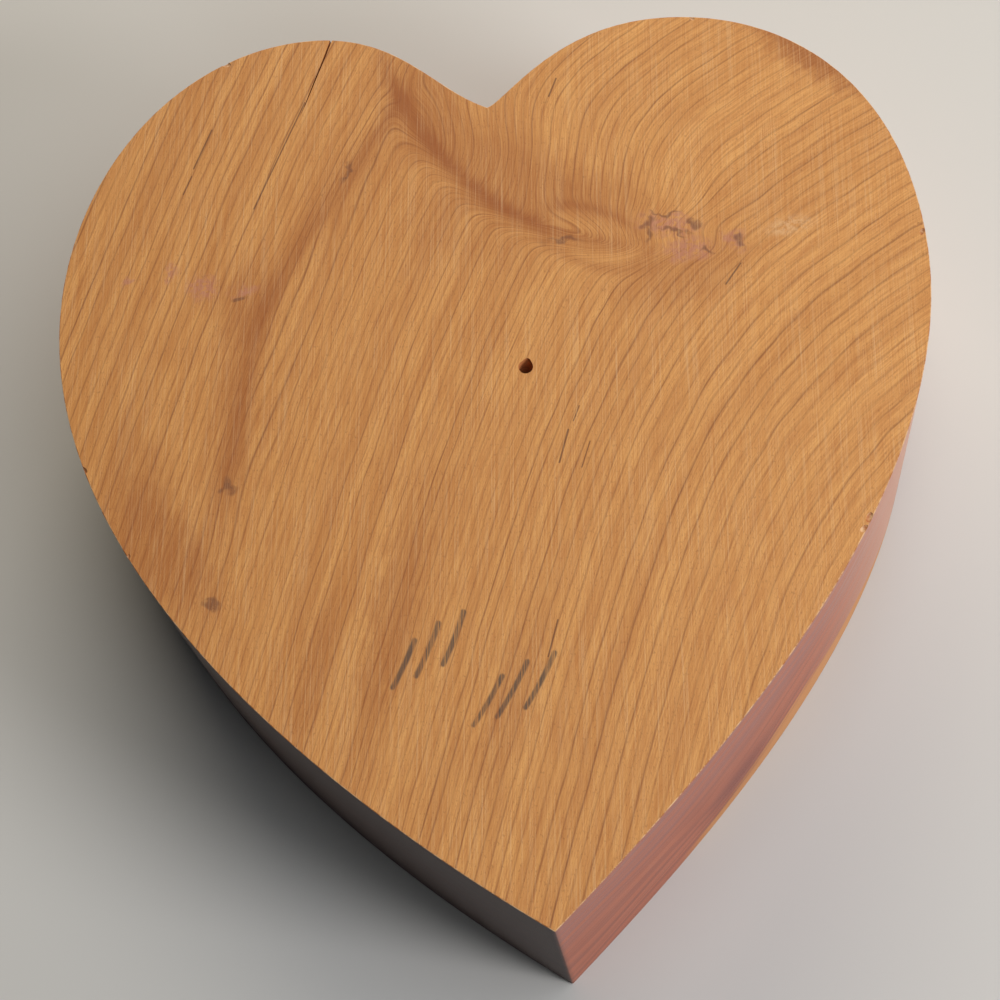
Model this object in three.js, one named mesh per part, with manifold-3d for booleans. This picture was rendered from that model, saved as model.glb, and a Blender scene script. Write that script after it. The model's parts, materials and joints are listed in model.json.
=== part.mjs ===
// A heart-shaped wooden trinket box, cut from one block, with a heart-shaped lid that drops into its rim.
// It is modelled the way it lies: turned over on its rim and lid, with its underside facing up.
// Millimetres, +Z up. The rim and the lid's outer face are at z = 0, and x = y = 0 is the middle of its length and width.

import * as THREE from 'three';
import { mergeVertices } from 'three/addons/utils/BufferGeometryUtils.js';
import Module from 'manifold-3d';

const wasm = await Module();
wasm.setup();

// Block
const HEIGHT = 50;
const FLOOR_THICKNESS = 8;

// Walls and the rebate that the lid drops into
const WALL_THICKNESS = 10;
const RIM_THICKNESS = 5;
const CORNER_RADIUS = 6;

// Lid
const LID_THICKNESS = 6;
const LID_SIDE_CLEARANCE = 0.5;
const LID_SEAT_CLEARANCE = 0.3;
const NOTCH_RADIUS = 8;

// Blind hole in the underside
const HOLE_DIAMETER = 2.4;
const HOLE_DEPTH = 5;
const HOLE_PLACE = new THREE.Vector2(5.1, 12.8);

// Heart outline: the cleft, the tip and each half's own lobe, as it was sawn by hand.
// Bulges are the lengths of the curve handles, and angles are in degrees.
const CLEFT = new THREE.Vector2(2.5, 64.2);
const TIP = new THREE.Vector2(1.6, -82.4);
const LEFT_HALF = {
  side: -1,
  lobeTop: new THREE.Vector2(-29.8, 82.4),
  widest: new THREE.Vector2(-75, 27),
  cleftRise: 27.5,
  cleftBulge: 10.9,
  innerBulge: 17.4,
  outerBulge: 24.4,
  shoulderBulge: 30.9,
  flankBulge: 44.9,
  tipBulge: 40.8,
  tipSpread: 54.3,
};
const RIGHT_HALF = {
  side: 1,
  lobeTop: new THREE.Vector2(33, 78.7),
  widest: new THREE.Vector2(75, 28.8),
  cleftRise: 11.4,
  cleftBulge: 3.2,
  innerBulge: 18,
  outerBulge: 20.4,
  shoulderBulge: 35.2,
  flankBulge: 46.4,
  tipBulge: 34.7,
  tipSpread: 49,
};

// Fineness of the facets
const LOBE_STEPS = 18;
const FLANK_STEPS = 22;
const ARC_STEP = THREE.MathUtils.degToRad(12);
const NOTCH_FACETS = 32;
const HOLE_FACETS = 12;

// How far a cutting form runs past the face that it cuts
const OVERCUT = 1;

// A point that lies a given length away in a given direction, measured up from the side that the half is on
function reach(from, side, angle, length) {
  const radians = THREE.MathUtils.degToRad(angle);
  return new THREE.Vector2(from.x + side * length * Math.cos(radians), from.y + length * Math.sin(radians));
}

// One half of the outline, from the cleft over the lobe and down the flank to the tip
function halfOutline(half) {
  const { side, lobeTop, widest } = half;
  const inner = new THREE.CubicBezierCurve(
    CLEFT,
    reach(CLEFT, side, half.cleftRise, half.cleftBulge),
    new THREE.Vector2(lobeTop.x - side * half.innerBulge, lobeTop.y),
    lobeTop,
  );
  const shoulder = new THREE.CubicBezierCurve(
    lobeTop,
    new THREE.Vector2(lobeTop.x + side * half.outerBulge, lobeTop.y),
    new THREE.Vector2(widest.x, widest.y + half.shoulderBulge),
    widest,
  );
  const flank = new THREE.CubicBezierCurve(
    widest,
    new THREE.Vector2(widest.x, widest.y - half.flankBulge),
    reach(TIP, side, 90 - half.tipSpread, half.tipBulge),
    TIP,
  );
  return [
    ...inner.getPoints(LOBE_STEPS).slice(0, -1),
    ...shoulder.getPoints(LOBE_STEPS).slice(0, -1),
    ...flank.getPoints(FLANK_STEPS),
  ];
}

// The whole outline, counter-clockwise, starting at the cleft
function heartOutline() {
  const left = halfOutline(LEFT_HALF);
  const right = halfOutline(RIGHT_HALF).reverse();
  return [...left, ...right.slice(1, -1)];
}

// Distance from a point to the nearest edge of a closed outline
function distanceToOutline(point, outline) {
  const nearest = new THREE.Vector3();
  const target = new THREE.Vector3(point.x, point.y, 0);
  let least = Infinity;
  outline.forEach((corner, index) => {
    const next = outline[(index + 1) % outline.length];
    const edge = new THREE.Line3(new THREE.Vector3(corner.x, corner.y, 0), new THREE.Vector3(next.x, next.y, 0));
    edge.closestPointToPoint(target, true, nearest);
    least = Math.min(least, nearest.distanceTo(target));
  });
  return least;
}

// An outline moved inwards by a distance, or outwards where the distance is negative.
// At a corner that opens up, the new outline runs round it in an arc; where it would cross itself, it is trimmed.
function insetOutline(outline, distance) {
  const moved = [];
  outline.forEach((corner, index) => {
    const before = outline[(index + outline.length - 1) % outline.length];
    const after = outline[(index + 1) % outline.length];
    const arriving = Math.atan2(corner.y - before.y, corner.x - before.x);
    let turn = Math.atan2(after.y - corner.y, after.x - corner.x) - arriving;
    turn = Math.atan2(Math.sin(turn), Math.cos(turn));
    const opensUp = turn * distance < 0;
    const steps = opensUp ? Math.ceil(Math.abs(turn) / ARC_STEP) : 0;
    for (let step = 0; step <= steps; step += 1) {
      const heading = steps === 0 ? arriving + turn / 2 : arriving + (turn * step) / steps;
      const reachIn = steps === 0 ? distance / Math.cos(turn / 2) : distance;
      moved.push(new THREE.Vector2(corner.x - reachIn * Math.sin(heading), corner.y + reachIn * Math.cos(heading)));
    }
  });
  const slack = 0.01;
  const shortest = 0.2;
  const kept = moved.filter((point) => distanceToOutline(point, outline) > Math.abs(distance) - slack);
  return kept.filter((point, index) => point.distanceTo(kept[(index + 1) % kept.length]) > shortest);
}

// An inset outline whose inside corners are rounded, as a cutter leaves them
function cutterOutline(outline, distance) {
  return insetOutline(insetOutline(outline, distance + CORNER_RADIUS), -CORNER_RADIUS);
}

// A flat-sided block over an outline, between two heights
function plate(outline, low, high) {
  const shape = new THREE.Shape(outline);
  const geometry = new THREE.ExtrudeGeometry(shape, { depth: high - low, bevelEnabled: false, steps: 1 });
  return geometry.translate(0, 0, low);
}

// An upright cylinder between two heights
function pin(place, radius, low, high, facets) {
  const geometry = new THREE.CylinderGeometry(radius, radius, high - low, facets);
  return geometry.rotateX(Math.PI / 2).translate(place.x, place.y, (low + high) / 2);
}

// Booleans
function solid(geometry) {
  const bare = geometry.clone();
  bare.deleteAttribute('normal');
  bare.deleteAttribute('uv');
  const merged = mergeVertices(bare, 1e-4);
  const mesh = new wasm.Mesh({
    numProp: 3,
    vertProperties: new Float32Array(merged.attributes.position.array),
    triVerts: new Uint32Array(merged.index.array),
  });
  return new wasm.Manifold(mesh);
}

function geometryOf(manifold) {
  const mesh = manifold.getMesh();
  const geometry = new THREE.BufferGeometry();
  geometry.setAttribute('position', new THREE.BufferAttribute(new Float32Array(mesh.vertProperties), 3));
  geometry.setIndex(new THREE.BufferAttribute(new Uint32Array(mesh.triVerts), 1));
  geometry.computeVertexNormals();
  return geometry;
}

function part(name, manifold, material) {
  const mesh = new THREE.Mesh(geometryOf(manifold), material);
  mesh.name = name;
  return mesh;
}

// Wood, sawn and sanded, with a reddish varnish on the walls that shows in scene materials
function boxWood() {
  return new THREE.MeshStandardMaterial({ color: 0xc48f55, roughness: 0.55, metalness: 0 });
}

function lidWood() {
  return new THREE.MeshStandardMaterial({ color: 0xb98150, roughness: 0.5, metalness: 0 });
}

const outer = heartOutline();
const seatHeight = LID_THICKNESS + LID_SEAT_CLEARANCE;

// The block: hollowed from its rim, with a rebate for the lid and one small hole in the underside
function boxBody() {
  const block = solid(plate(outer, 0, HEIGHT));
  const cavity = solid(plate(cutterOutline(outer, WALL_THICKNESS), -OVERCUT, HEIGHT - FLOOR_THICKNESS));
  const rebate = solid(plate(cutterOutline(outer, RIM_THICKNESS), -OVERCUT, seatHeight));
  const hole = solid(pin(HOLE_PLACE, HOLE_DIAMETER / 2, HEIGHT - HOLE_DEPTH, HEIGHT + OVERCUT, HOLE_FACETS));
  return part('heart_box_body', block.subtract(cavity).subtract(rebate).subtract(hole), boxWood());
}

// The lid: a flat heart that fits the rebate, with a finger notch under the cleft
function lid() {
  const panel = solid(plate(cutterOutline(outer, RIM_THICKNESS + LID_SIDE_CLEARANCE), 0, LID_THICKNESS));
  const notchPlace = new THREE.Vector2(CLEFT.x, CLEFT.y - RIM_THICKNESS - LID_SIDE_CLEARANCE);
  const notch = solid(pin(notchPlace, NOTCH_RADIUS, -OVERCUT, LID_THICKNESS + OVERCUT, NOTCH_FACETS));
  return part('lid', panel.subtract(notch), lidWood());
}

const heartBox = new THREE.Group();
heartBox.name = 'heart_trinket_box';
heartBox.add(boxBody(), lid());

export default heartBox;
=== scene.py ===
# %% [markdown]
# # A wooden heart trinket box, lying upside down
#
# The box is cut from one block of wood. It lies on its rim and lid, so the face that looks up is its
# underside. This lesson builds it in small steps: first the frame, the camera and the light, then a few
# tools, the outline, the wood's finishes, the body, the lid and the floor. Every length is written in
# millimetres and turned into metres by one value, MM.

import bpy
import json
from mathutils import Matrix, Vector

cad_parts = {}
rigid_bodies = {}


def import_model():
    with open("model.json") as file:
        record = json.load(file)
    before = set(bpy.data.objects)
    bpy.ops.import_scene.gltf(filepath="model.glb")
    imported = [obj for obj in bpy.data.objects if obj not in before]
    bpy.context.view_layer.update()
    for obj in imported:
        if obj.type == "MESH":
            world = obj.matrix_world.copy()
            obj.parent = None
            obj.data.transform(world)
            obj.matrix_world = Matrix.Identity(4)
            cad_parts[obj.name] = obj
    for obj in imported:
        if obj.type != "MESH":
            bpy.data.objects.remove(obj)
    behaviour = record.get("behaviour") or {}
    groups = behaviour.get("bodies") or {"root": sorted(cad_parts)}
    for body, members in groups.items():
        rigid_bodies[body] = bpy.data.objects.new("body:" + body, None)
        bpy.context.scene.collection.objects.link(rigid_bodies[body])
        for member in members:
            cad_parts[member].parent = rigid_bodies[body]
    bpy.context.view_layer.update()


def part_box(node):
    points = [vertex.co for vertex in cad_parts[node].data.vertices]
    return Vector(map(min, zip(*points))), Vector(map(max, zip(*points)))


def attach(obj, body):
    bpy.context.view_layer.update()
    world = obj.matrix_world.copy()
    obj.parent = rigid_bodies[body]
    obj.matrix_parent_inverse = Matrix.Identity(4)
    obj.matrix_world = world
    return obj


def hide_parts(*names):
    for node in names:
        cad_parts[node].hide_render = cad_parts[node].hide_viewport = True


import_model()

# %% The libraries, the unit and the heights that the frame gives
import json
import math

import bmesh
import bpy
import numpy as np
from mathutils import Matrix, Vector

MM = 0.001
BODY_NODE = "heart_box_body"
LID_NODE = "lid"
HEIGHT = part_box(BODY_NODE)[1][2] / MM
LID_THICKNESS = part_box(LID_NODE)[1][2] / MM
print(f"the block is {HEIGHT:.1f} mm high and the lid is {LID_THICKNESS:.1f} mm thick")

# %% [markdown]
# ## The camera and the light
#
# The photograph looks down on the box from the side of its tip, about 68 degrees above the table. The
# camera is rolled a little, so the heart leans in the picture. Its place, lens and roll were worked out
# from the heart's outline and from the walls, which stand upright. The camera comes first, because every
# later step is judged through it.

# %% Camera
CAMERA_PLACE = Vector((16.83, -144.14, 383.05))
CAMERA_TARGET = Vector((-1.16, -10.79, 50.0))
CAMERA_ROLL = math.radians(-13.17)
CAMERA_LENS = 78.4
SENSOR_WIDTH = 36.0


def camera_turn(place, target, roll):
    """The camera's axes as a rotation: it looks from place to target, rolled about that line."""
    forward = (target - place).normalized()
    level = forward.cross(Vector((0, 0, 1))).normalized()
    above = level.cross(forward)
    right = math.cos(roll) * level + math.sin(roll) * above
    up = math.cos(roll) * above - math.sin(roll) * level
    return Matrix((right, up, -forward)).transposed().to_4x4()


def photo_camera():
    data = bpy.data.cameras.new("photo_camera")
    data.lens = CAMERA_LENS
    data.sensor_width = SENSOR_WIDTH
    data.clip_start = 0.01
    camera = bpy.data.objects.new("photo_camera", data)
    bpy.context.scene.collection.objects.link(camera)
    turn = camera_turn(CAMERA_PLACE, CAMERA_TARGET, CAMERA_ROLL)
    camera.matrix_world = Matrix.Translation(CAMERA_PLACE * MM) @ turn
    return camera


bpy.context.scene.camera = photo_camera()
print("camera at", [round(v, 3) for v in bpy.context.scene.camera.location])

# %% [markdown]
# Three round lamps give the photograph's light. A small one stands low on the right and throws the shadow
# under the left flank. A broad one hangs high on the right and lights the face. A broad warm one stands
# low behind the lobes and gives the sheen along the grain. The world is almost dark, so the left flank
# stays dark too.

# %% Lamps and world
LAMP_DISTANCE = 750.0
LAMPS = [
    dict(name="low_right_lamp", azimuth=-30, elevation=30, size=250, power=2.9, colour=(1.0, 0.99, 0.98)),
    dict(name="high_right_lamp", azimuth=0, elevation=70, size=700, power=2.75, colour=(0.97, 1.0, 1.0)),
    dict(name="back_lamp", azimuth=90, elevation=30, size=700, power=3.9, colour=(1.0, 0.88, 0.68)),
]
WORLD_COLOUR = (0.9, 0.93, 1.0, 1.0)
WORLD_STRENGTH = 0.015


def area_lamp(name, azimuth, elevation, size, power, colour):
    data = bpy.data.lights.new(name, "AREA")
    data.shape = "DISK"
    data.size = size * MM
    data.energy = power
    data.color = colour
    lamp = bpy.data.objects.new(name, data)
    bpy.context.scene.collection.objects.link(lamp)
    turn, rise = math.radians(azimuth), math.radians(elevation)
    towards = Vector((math.cos(rise) * math.cos(turn), math.cos(rise) * math.sin(turn), math.sin(rise)))
    lamp.location = towards * LAMP_DISTANCE * MM
    lamp.rotation_euler = (-towards).to_track_quat("-Z", "Y").to_euler()


def soft_world():
    world = bpy.data.worlds.new("soft_world")
    world.use_nodes = True
    background = world.node_tree.nodes["Background"]
    background.inputs["Color"].default_value = WORLD_COLOUR
    background.inputs["Strength"].default_value = WORLD_STRENGTH
    bpy.context.scene.world = world


for lamp_values in LAMPS:
    area_lamp(**lamp_values)
soft_world()
bpy.context.scene.view_settings.view_transform = "Standard"
print(len(LAMPS), "lamps and a world")

# %% [markdown]
# ## A small tool for node trees
#
# Materials and Geometry Nodes are both trees of nodes. Term wraps one socket, so that ordinary signs such
# as + and * add Math nodes, and Recipe adds any other node from its type, its settings and its sockets'
# values. With them, a wood pattern reads like the formula that it is.

# %% Recipe and Term
class Term:
    """One socket of a node tree, which arithmetic works on."""

    def __init__(self, recipe, socket):
        self.recipe = recipe
        self.socket = socket

    def maths(self, operation, *others):
        values = dict(enumerate((self, *others)))
        return self.recipe.node("ShaderNodeMath", {"operation": operation}, values)

    def __add__(self, other):
        return self.maths("ADD", other)

    __radd__ = __add__

    def __mul__(self, other):
        return self.maths("MULTIPLY", other)

    __rmul__ = __mul__

    def __sub__(self, other):
        return self.maths("SUBTRACT", other)

    def __rsub__(self, other):
        return self * -1 + other

    def __truediv__(self, other):
        return self.maths("DIVIDE", other)

    def __neg__(self):
        return self * -1

    def __mod__(self, other):
        return self.maths("FLOORED_MODULO", other)

    def at_least(self, other):
        return self.maths("MAXIMUM", other)

    def at_most(self, other):
        return self.maths("MINIMUM", other)

    def exp(self):
        return self.maths("EXPONENT")

    def step(self, low, high):
        """0 below low, 1 above high and a smooth rise between them. It falls where low is above high."""
        ends = {"Value": self, "From Min": low, "From Max": high}
        return self.recipe.node("ShaderNodeMapRange", {"interpolation_type": "SMOOTHSTEP"}, ends)

    def bell(self, width):
        """1 at zero, falling off smoothly on both sides."""
        share = self / width
        return (share * share * -1).exp()

    def other(self, name):
        return Term(self.recipe, self.socket.node.outputs[name])


class Recipe:
    """A node tree under construction."""

    def __init__(self, tree):
        self.tree = tree

    def node(self, kind, settings=None, values=None, output=0):
        made = self.tree.nodes.new(kind)
        for name, value in (settings or {}).items():
            setattr(made, name, value)
        for key, value in (values or {}).items():
            self.feed(made.inputs[key], value)
        return Term(self, made.outputs[output])

    def feed(self, socket, value):
        """Joins a term to a socket, or writes a plain value into it."""
        if isinstance(value, Term):
            self.tree.links.new(value.socket, socket)
        else:
            socket.default_value = value

    def end(self, kind, name, term):
        """The tree's last node, which takes one term."""
        last = self.tree.nodes.new(kind)
        self.feed(last.inputs[name], term)

    def vector(self, x, y, z):
        return self.node("ShaderNodeCombineXYZ", None, {0: x, 1: y, 2: z})

    def mix(self, share, low, high):
        """A colour between two colours: low at a share of 0 and high at a share of 1."""
        return self.node("ShaderNodeMix", {"data_type": "RGBA"}, {0: share, 6: low, 7: high}, 2)

    def noise(self, vector, scale=1.0, detail=2.0, roughness=0.5):
        values = {"Vector": vector, "Scale": scale, "Detail": detail, "Roughness": roughness}
        return self.node("ShaderNodeTexNoise", {"noise_dimensions": "3D"}, values)


print("Recipe and Term are ready")

# %% [markdown]
# ## The heart outline
#
# The box was sawn by hand, so its halves aren't quite alike: each lobe has its own top and widest point.
# The outline has six knots, at the cleft, the two lobe tops, the two widest points and the tip. Bezier
# handles between them give the round stretches, and sampling them finely gives smooth walls.

# %% Outline values
CLEFT = Vector((2.5, 64.2))
TIP = Vector((1.6, -82.4))
LEFT_HALF = dict(
    side=-1, lobe_top=Vector((-29.8, 82.4)), widest=Vector((-75.0, 27.0)),
    cleft_rise=27.5, cleft_bulge=10.9, inner_bulge=17.4, outer_bulge=24.4,
    shoulder_bulge=30.9, flank_bulge=44.9, tip_bulge=40.8, tip_spread=54.3,
)
RIGHT_HALF = dict(
    side=1, lobe_top=Vector((33.0, 78.7)), widest=Vector((75.0, 28.8)),
    cleft_rise=11.4, cleft_bulge=3.2, inner_bulge=18.0, outer_bulge=20.4,
    shoulder_bulge=35.2, flank_bulge=46.4, tip_bulge=34.7, tip_spread=49.0,
)
OUTLINE_STEPS = 72


def bezier(start, first, second, end, steps):
    """Points along one Bezier stretch, without its last point."""
    share = np.linspace(0.0, 1.0, steps, endpoint=False)[:, None]
    rest = 1.0 - share
    knots = [np.array(point[:]) for point in (start, first, second, end)]
    weights = (rest**3, 3 * rest**2 * share, 3 * rest * share**2, share**3)
    return sum(weight * knot for weight, knot in zip(weights, knots))


def reach(origin, side, angle, length):
    """A point that lies length away from origin, angle degrees above the level, towards one side."""
    radians = math.radians(angle)
    return origin + Vector((side * length * math.cos(radians), length * math.sin(radians)))


def half_outline(half):
    """One half of the heart, from the cleft over the lobe to the tip."""
    side, top, widest = half["side"], half["lobe_top"], half["widest"]
    across = Vector((side, 0))
    upwards = Vector((0, 1))
    inner = bezier(CLEFT, reach(CLEFT, side, half["cleft_rise"], half["cleft_bulge"]),
                   top - across * half["inner_bulge"], top, OUTLINE_STEPS)
    shoulder = bezier(top, top + across * half["outer_bulge"],
                      widest + upwards * half["shoulder_bulge"], widest, OUTLINE_STEPS)
    flank = bezier(widest, widest - upwards * half["flank_bulge"],
                   reach(TIP, side, 90 - half["tip_spread"], half["tip_bulge"]), TIP, OUTLINE_STEPS)
    return np.vstack([inner, shoulder, flank, [TIP[:]]])


def heart_outline():
    """The whole outline, counter-clockwise from the cleft."""
    left = half_outline(LEFT_HALF)
    right = half_outline(RIGHT_HALF)[::-1]
    return np.vstack([left, right[1:-1]])


outer_outline = heart_outline()
print(f"{len(outer_outline)} points round the heart, {np.ptp(outer_outline[:, 0]):.1f} by "
      f"{np.ptp(outer_outline[:, 1]):.1f} mm")

# %% [markdown]
# ## Walls of even thickness
#
# The hollow, the rebate and the lid follow the outline at a fixed distance, like a cutter along a
# template. Every point moves in by that distance along its normal. Points that end up too near the
# outline are dropped, which trims the crossings at the tip. Moving in too far and then out again rounds
# the corners like the cutter.

# %% Inset outlines
WALL_THICKNESS = 10.0
RIM_THICKNESS = 5.0
FLOOR_THICKNESS = 8.0
CORNER_RADIUS = 6.0
SIDE_CLEARANCE = 0.5
SEAT_CLEARANCE = 0.3
ARC_STEP = math.radians(8)
TRIM_SLACK = 0.01
SHORTEST_EDGE = 0.15


def distance_to_loop(points, loop):
    """Distance from each point to the nearest edge of a closed loop."""
    start, end = loop, np.roll(loop, -1, axis=0)
    edge = end - start
    away = points[:, None] - start[None]
    share = np.clip((away * edge).sum(2) / (edge**2).sum(1), 0, 1)
    return np.sqrt(((away - share[..., None] * edge)**2).sum(2)).min(1)


def inset_loop(loop, distance):
    """The loop moved inwards, or outwards where the distance is negative."""
    before, after = loop - np.roll(loop, 1, axis=0), np.roll(loop, -1, axis=0) - loop
    arriving = np.arctan2(before[:, 1], before[:, 0])
    turn = np.arctan2(after[:, 1], after[:, 0]) - arriving
    turn = np.arctan2(np.sin(turn), np.cos(turn))
    moved = []
    for corner, heading, bend in zip(loop, arriving, turn):
        opens = bend * distance < 0
        steps = math.ceil(abs(bend) / ARC_STEP) if opens else 0
        for step in range(steps + 1):
            angle = heading + (bend * step / steps if steps else bend / 2)
            length = distance if steps else distance / math.cos(bend / 2)
            moved.append(corner + length * np.array([-math.sin(angle), math.cos(angle)]))
    moved = np.array(moved)
    kept = moved[distance_to_loop(moved, loop) > abs(distance) - TRIM_SLACK]
    apart = np.linalg.norm(kept - np.roll(kept, -1, axis=0), axis=1) > SHORTEST_EDGE
    return kept[apart]


def cutter_loop(distance):
    """The outline moved inwards, with inside corners as round as a cutter leaves them."""
    return inset_loop(inset_loop(outer_outline, distance + CORNER_RADIUS), -CORNER_RADIUS)


hollow_outline = cutter_loop(WALL_THICKNESS)
rebate_outline = cutter_loop(RIM_THICKNESS)
lid_outline = cutter_loop(RIM_THICKNESS + SIDE_CLEARANCE)
print("points: hollow", len(hollow_outline), "rebate", len(rebate_outline), "lid", len(lid_outline))

# %% [markdown]
# ## Plates and a hollow block in Geometry Nodes
#
# The body follows a rule: a thick plate of the outline, less a plate of the hollow, less a plate of the
# rebate. So a Geometry Nodes tree makes it from three outlines and its heights. An outline enters as a
# ring of edges, which turns into a curve, is filled and is then pulled up into a plate. A Boolean could
# also be a modifier, but in the tree the heights stay inputs with names that can be changed in one place.

# %% Helpers for meshes and trees
def add_object(name, mesh):
    made = bpy.data.objects.new(name, mesh)
    bpy.context.scene.collection.objects.link(made)
    return made


def ring_object(name, loop):
    """A closed ring of edges at height zero."""
    count = len(loop)
    mesh = bpy.data.meshes.new(name)
    corners = [(x * MM, y * MM, 0.0) for x, y in loop]
    mesh.from_pydata(corners, [(i, (i + 1) % count) for i in range(count)], [])
    return add_object(name, mesh)


def geometry_recipe(name, inputs):
    """A Geometry Nodes tree with named inputs, given as name: socket type."""
    tree = bpy.data.node_groups.new(name, "GeometryNodeTree")
    tree.interface.new_socket("Geometry", in_out="INPUT", socket_type="NodeSocketGeometry")
    for socket_name, kind in inputs.items():
        tree.interface.new_socket(socket_name, in_out="INPUT", socket_type=kind)
    tree.interface.new_socket("Geometry", in_out="OUTPUT", socket_type="NodeSocketGeometry")
    recipe = Recipe(tree)
    entry = recipe.node("NodeGroupInput")
    return recipe, {socket_name: entry.other(socket_name) for socket_name in ("Geometry", *inputs)}


def finish_tree(recipe, geometry, material):
    """Real geometry and its material, as the last nodes of every tree."""
    real = recipe.node("GeometryNodeRealizeInstances", None, {"Geometry": geometry})
    dressed = recipe.node("GeometryNodeSetMaterial", None, {"Geometry": real, "Material": material})
    recipe.end("NodeGroupOutput", "Geometry", dressed)


def join(recipe, *parts):
    """Several geometries as one."""
    joined = recipe.tree.nodes.new("GeometryNodeJoinGeometry")
    for item in parts:
        recipe.tree.links.new(item.socket, joined.inputs[0])
    return Term(recipe, joined.outputs[0])


def run_tree(piece, recipe, values):
    """Runs a tree on an object and keeps the result as its plain mesh."""
    modifier = piece.modifiers.new("tree", "NODES")
    modifier.node_group = recipe.tree
    items = recipe.tree.interface.items_tree
    sockets = {item.name: item.identifier for item in items if item.in_out == "INPUT"}
    for name, value in values.items():
        modifier[sockets[name]] = value
    bake_modifiers(piece)


def bake_modifiers(piece):
    """Turns what the modifiers give into the object's own plain mesh."""
    seen = piece.evaluated_get(bpy.context.evaluated_depsgraph_get())
    mesh = bpy.data.meshes.new_from_object(seen)
    piece.modifiers.clear()
    piece.data = mesh
    mesh.name = piece.name


def discard(*pieces):
    for piece in pieces:
        bpy.data.objects.remove(piece)


print("mesh and tree helpers are ready")

# %% The trees for the body and the lid
OVERCUT = 1.0
SEAM_WIDTH = 0.001
NOTCH_SIDES = 96


def plate(recipe, outline, low, high):
    """A closed plate over an outline, between two heights in metres."""
    curve = recipe.node("GeometryNodeMeshToCurve", None, {0: outline})
    flat = recipe.node("GeometryNodeFillCurve", {"mode": "NGONS"}, {0: curve})
    foot = recipe.vector(0, 0, low)
    base = recipe.node("GeometryNodeTransform", None, {"Geometry": flat, "Translation": foot})
    rise = recipe.vector(0, 0, high - low)
    raised = recipe.node("GeometryNodeExtrudeMesh", {"mode": "FACES"},
                         {"Mesh": base, "Offset": rise, "Offset Scale": 1.0, "Individual": False})
    under = recipe.node("GeometryNodeFlipFaces", None, {"Mesh": base})
    closed = join(recipe, raised, under)
    return recipe.node("GeometryNodeMergeByDistance", None, {"Geometry": closed, "Distance": SEAM_WIDTH * MM})


def cut(recipe, block, *tools):
    """A block less its tools."""
    made = recipe.node("GeometryNodeMeshBoolean", {"operation": "DIFFERENCE", "solver": "EXACT"})
    node = made.socket.node
    recipe.tree.links.new(block.socket, node.inputs["Mesh 1"])
    for tool in tools:
        recipe.tree.links.new(tool.socket, node.inputs["Mesh 2"])
    return made


def hollow_block_tree(material):
    lengths = dict.fromkeys(("Height", "Floor Height", "Seat Height"), "NodeSocketFloat")
    rings = dict.fromkeys(("Hollow", "Rebate"), "NodeSocketObject")
    recipe, given = geometry_recipe("hollow_block", lengths | rings)
    hollow = recipe.node("GeometryNodeObjectInfo", None, {"Object": given["Hollow"]}, "Geometry")
    rebate = recipe.node("GeometryNodeObjectInfo", None, {"Object": given["Rebate"]}, "Geometry")
    below = -OVERCUT * MM
    block = plate(recipe, given["Geometry"], 0.0, given["Height"])
    room = plate(recipe, hollow, below, given["Floor Height"])
    seat = plate(recipe, rebate, below, given["Seat Height"])
    finish_tree(recipe, cut(recipe, cut(recipe, block, room), seat), material)
    return recipe


def lid_tree(material):
    lengths = dict.fromkeys(("Thickness", "Notch Radius"), "NodeSocketFloat")
    recipe, given = geometry_recipe("lid_panel", lengths | {"Notch Place": "NodeSocketVector"})
    panel = plate(recipe, given["Geometry"], 0.0, given["Thickness"])
    size = {"Vertices": NOTCH_SIDES, "Radius": given["Notch Radius"], "Depth": given["Thickness"] * 4.0}
    cutter = recipe.node("GeometryNodeMeshCylinder", None, size)
    place = {"Geometry": cutter, "Translation": given["Notch Place"]}
    placed = recipe.node("GeometryNodeTransform", None, place)
    finish_tree(recipe, cut(recipe, panel, placed), material)
    return recipe


print("the trees can be built")

# %% [markdown]
# ## The wood's rings
#
# Growth rings are surfaces at equal steps of one smooth field, so the pattern is a height map whose
# contour lines are the rings. Across most of the face the field is a tilted plane, which gives straight
# lines that lean to the right. Two soft bends turn the lines towards the level in the right lobe, where
# the trunk swelled round a branch. A valley along a curved path makes the swirl that runs from the cleft
# to the knot. The field also falls with depth, so the rings go on inside the box.

# %% The ring field
LEAN = math.radians(19.5)
RING_SPACING = 1.35
BRANCH_BEND = dict(along=(0.87, 0.49), start=40.0, width=16.0, strength=0.68)
CROWN_BEND = dict(along=(0.37, 0.93), start=0.0, width=15.0, strength=0.06)
DEPTH_TILT = 1.1
SWIRL_BASE = 30.5
SWIRL_RISE = 35.0
SWIRL_START = -11.0
SWIRL_FALL = 16.0
SWIRL_DEPTH = 9.0
EYE_PLACE = (18.6, 36.0)
EYE_SIZE = (8.5, 3.6)
EYE_LEAN = -30.5
KNOT_PLACE = (34.0, 36.0)
KNOT_SIZE = (8.0, 3.5)
STREAK_FOOT = -44.5
STREAK_BEND = 30.0
SWIRL_ABOVE = 18.0
SWIRL_BELOW = 2.6
EYE_DEPTH = 8.0
KNOT_RISE = 3.0
STREAK_RISE = 1.6
WAVER = 0.8

# Where the rings grow wider apart, to the left and to the right of the middle
WIDER_LEFT = dict(start=36.0, width=8.0)
WIDER_RIGHT = dict(start=8.0, width=8.0)

# Place and width of the dark line, as shares of one ring
LINE_PLACE = 0.55
LINE_WIDTH = 0.085


def soft_ramp(term, start, width):
    """Zero below start and a slope of one above it, with a soft bend."""
    return (((term - start) / width).exp() + 1.0).maths("LOGARITHM", math.e) * width


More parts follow.
